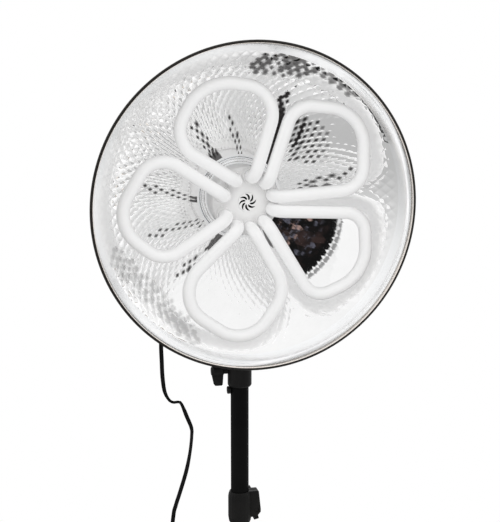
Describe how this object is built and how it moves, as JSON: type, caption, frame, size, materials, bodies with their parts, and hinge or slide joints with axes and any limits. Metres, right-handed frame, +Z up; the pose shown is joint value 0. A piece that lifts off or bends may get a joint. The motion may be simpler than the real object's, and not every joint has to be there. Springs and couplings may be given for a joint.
{
  "type": "daylight studio lamp",
  "caption": "Continuous studio light: petal-shaped fluorescent lamp in a hammered metal bowl reflector, on a tilt bracket and a folding light stand with its cord.",
  "frame": {"origin": "middle of the stand's footprint on the floor", "axes": "+Z up along the stand's tubes, -Y the way the lamp faces, +X to the right seen from the front"},
  "size_m": [0.8442, 0.7342, 1.3199],
  "materials": {
    "hammered_aluminium": "bright hammered",
    "black_plastic": "satin moulded",
    "black_paint": "satin black",
    "white_plastic": "satin",
    "phosphor_glass": "white phosphor behind clear glass",
    "bright_steel": "bright",
    "socket_ceramic": "glazed ceramic",
    "black_rubber": "matte",
    "cord_vinyl": "smooth vinyl"
  },
  "bodies": {
    "base": {"base_tube": "black_paint", "end_plug": "black_plastic", "bottom_collar": "black_plastic", "lower_clamp": "black_plastic", "cord_run": "cord_vinyl", "cord_coil": "cord_vinyl", "cord_tie": "black_plastic", "plug": "black_plastic"},
    "lower_clamp_knob": {"lower_clamp_knob": "black_plastic"},
    "middle": {"middle_tube": "black_paint", "middle_tube_plug": "black_plastic", "upper_clamp": "black_plastic"},
    "upper_clamp_knob": {"upper_clamp_knob": "black_plastic"},
    "top": {"top_tube": "black_paint", "top_tube_plug": "black_plastic", "spigot": "bright_steel"},
    "spigot_screw": {"spigot_screw": "black_plastic"},
    "bracket": {"tilt_bracket": "black_plastic", "friction_disc": "black_rubber", "tilt_bolt": "bright_steel"},
    "tilt_knob": {"tilt_knob": "black_plastic"},
    "spigot_lock_knob": {"spigot_lock_knob": "black_plastic"},
    "umbrella_lock_screw": {"umbrella_lock_screw": "black_plastic"},
    "head": {"reflector": "hammered_aluminium", "neck_ring": "hammered_aluminium", "rear_housing": "black_plastic", "rear_cap": "black_plastic", "switch_frame": "black_plastic", "strain_relief": "black_rubber", "lamp_socket": "socket_ceramic", "head_arm": "black_plastic"},
    "rocker": {"rocker_switch": "black_plastic"},
    "lamp": {"ballast_housing": "white_plastic", "lamp_screw_cap": "bright_steel", "tube_hub": "white_plastic", "vent_cap": "white_plastic", "petal_tube_1": "phosphor_glass", "petal_tube_2": "phosphor_glass", "petal_tube_3": "phosphor_glass", "petal_tube_4": "phosphor_glass", "petal_tube_5": "phosphor_glass"},
    "leg_slider": {"leg_slider": "black_plastic"},
    "leg_slider_knob": {"leg_slider_knob": "black_plastic"},
    "leg_1": {"leg_1": "black_paint", "foot_1": "black_rubber"},
    "brace_1": {"brace_1": "bright_steel"},
    "leg_2": {"leg_2": "black_paint", "foot_2": "black_rubber"},
    "brace_2": {"brace_2": "bright_steel"},
    "leg_3": {"leg_3": "black_paint", "foot_3": "black_rubber"},
    "brace_3": {"brace_3": "bright_steel"}
  },
  "joints": [
    {"name": "middle_slide", "type": "slide", "parent": "base", "child": "middle", "axis": [0, 0, 1], "range_m": [-0.03, 0.34]},
    {"name": "top_slide", "type": "slide", "parent": "middle", "child": "top", "axis": [0, 0, 1], "range_m": [-0.138, 0.23]},
    {"name": "head_swivel", "type": "hinge", "parent": "top", "child": "bracket", "pos_m": [0, 0.11825, 0.8347], "axis": [0, 0, 1], "range_deg": [-170, 170]},
    {"name": "head_tilt", "type": "hinge", "parent": "bracket", "child": "head", "pos_m": [0, 0.11825, 0.9097], "axis": [1, 0, 0], "range_deg": [-95, 50], "deforming": ["cord_run"]},
    {"name": "tilt_knob_turn", "type": "hinge", "parent": "bracket", "child": "tilt_knob", "pos_m": [-0.0178, 0.11825, 0.9097], "axis": [-1, 0, 0], "continuous": true},
    {"name": "spigot_lock_turn", "type": "hinge", "parent": "bracket", "child": "spigot_lock_knob", "pos_m": [-0.023, 0.11825, 0.8572], "axis": [-1, 0, 0], "continuous": true},
    {"name": "umbrella_lock_turn", "type": "hinge", "parent": "bracket", "child": "umbrella_lock_screw", "pos_m": [0.0172, 0.11825, 0.8782], "axis": [1, 0, 0], "continuous": true},
    {"name": "spigot_screw_turn", "type": "hinge", "parent": "top", "child": "spigot_screw", "pos_m": [-0.013, 0.11825, 0.8289], "axis": [-1, 0, 0], "continuous": true},
    {"name": "upper_clamp_turn", "type": "hinge", "parent": "middle", "child": "upper_clamp_knob", "pos_m": [0.023, 0.12615, 0.6513], "axis": [0, 1, 0], "continuous": true},
    {"name": "lower_clamp_turn", "type": "hinge", "parent": "base", "child": "lower_clamp_knob", "pos_m": [0.02468, 0.12615, 0.5713], "axis": [0, 1, 0], "continuous": true},
    {"name": "lamp_turn", "type": "hinge", "parent": "head", "child": "lamp", "pos_m": [-0.0115, -0.04175, 1.1097], "axis": [0, 1, 0], "continuous": true},
    {"name": "rocker_tip", "type": "hinge", "parent": "head", "child": "rocker", "pos_m": [-0.0115, 0.21525, 1.1365], "axis": [1, 0, 0], "range_deg": [0, 16]},
    {"name": "slider_slide", "type": "slide", "parent": "base", "child": "leg_slider", "axis": [0, 0, 1], "range_m": [0, 0.159]},
    {"name": "slider_knob_turn", "type": "hinge", "parent": "leg_slider", "child": "leg_slider_knob", "pos_m": [0.01888, 0.10735, 0.27406], "axis": [0.866, -0.5, 0], "continuous": true},
    {"name": "leg_1_fold", "type": "hinge", "parent": "leg_slider", "child": "leg_1", "pos_m": [0, 0.08625, 0.28656], "axis": [1, 0, 0], "range_deg": [0, 53]},
    {"name": "brace_1_fold", "type": "hinge", "parent": "leg_1", "child": "brace_1", "pos_m": [0, -0.05792, 0.19647], "axis": [1, 0, 0], "range_deg": [-106.5, 0.5]},
    {"name": "leg_2_fold", "type": "hinge", "parent": "leg_slider", "child": "leg_2", "pos_m": [0.02771, 0.13425, 0.28656], "axis": [-0.5, 0.866, 0], "range_deg": [0, 53]},
    {"name": "brace_2_fold", "type": "hinge", "parent": "leg_2", "child": "brace_2", "pos_m": [0.15257, 0.20633, 0.19647], "axis": [-0.5, 0.866, 0], "range_deg": [-106.5, 0.5]},
    {"name": "leg_3_fold", "type": "hinge", "parent": "leg_slider", "child": "leg_3", "pos_m": [-0.02771, 0.13425, 0.28656], "axis": [-0.5, -0.866, 0], "range_deg": [0, 53]},
    {"name": "brace_3_fold", "type": "hinge", "parent": "leg_3", "child": "brace_3", "pos_m": [-0.15257, 0.20633, 0.19647], "axis": [-0.5, -0.866, 0], "range_deg": [-106.5, 0.5]}
  ],
  "couplings": [
    {"joint": "slider_slide", "follows": "leg_1_fold", "m_per_rad": 0.17138},
    {"joint": "brace_1_fold", "follows": "leg_1_fold", "ratio": -2},
    {"joint": "leg_2_fold", "follows": "leg_1_fold", "ratio": 1},
    {"joint": "brace_2_fold", "follows": "leg_1_fold", "ratio": -2},
    {"joint": "leg_3_fold", "follows": "leg_1_fold", "ratio": 1},
    {"joint": "brace_3_fold", "follows": "leg_1_fold", "ratio": -2}
  ]
}
